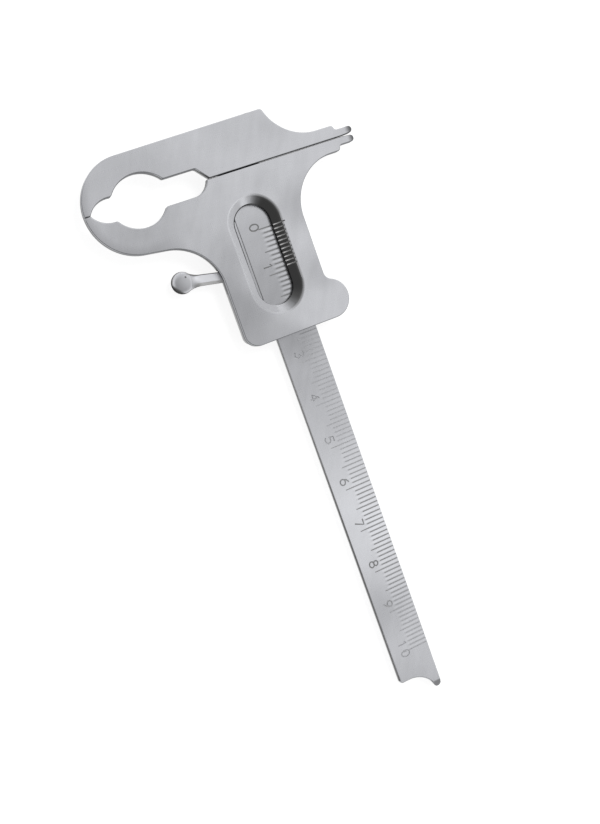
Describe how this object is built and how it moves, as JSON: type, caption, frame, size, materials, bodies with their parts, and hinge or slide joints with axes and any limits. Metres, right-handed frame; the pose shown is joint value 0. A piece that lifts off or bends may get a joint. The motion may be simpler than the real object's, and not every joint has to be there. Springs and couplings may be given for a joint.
{
  "type": "boley gauge",
  "caption": "Slim steel sliding gauge with a graduated beam, curved claw jaws on one side, slim straight tips on the other, an oval vernier window and a ball-ended lock lever.",
  "frame": {"origin": "on the back plate's outer face, on the beam's centre line, under the zero line of the scale", "axes": "+Y along the beam towards the fixed jaw, +X across it towards the slim jaw tips, +Z out of the graduated face"},
  "size_m": [0.0615, 0.1349, 0.0047],
  "materials": {
    "beam_steel": "satin, engraved graduation",
    "jaw_steel": "satin, softly rounded edges",
    "plate_steel": "satin, grained along its length",
    "lever_steel": "bright, turned and polished",
    "fastener_steel": "turned, slotted heads"
  },
  "bodies": {
    "beam_and_head": {"beam": "beam_steel", "fixed_jaw": "jaw_steel", "head_rivets": "fastener_steel"},
    "slider": {"sliding_jaw": "jaw_steel", "back_plate": "plate_steel", "plate_screws": "fastener_steel", "brake_strip": "beam_steel", "pivot_screw": "fastener_steel"},
    "lever": {"lock_lever": "lever_steel"}
  },
  "joints": [
    {"name": "jaw_slide", "type": "slide", "parent": "beam_and_head", "child": "slider", "axis": [0, -1, 0], "range_m": [0, 0.1]},
    {"name": "lever_pivot", "type": "hinge", "parent": "slider", "child": "lever", "pos_m": [-0.00794, -0.0076, 0.0024], "axis": [0, 0, 1], "range_deg": [0, 35]}
  ]
}
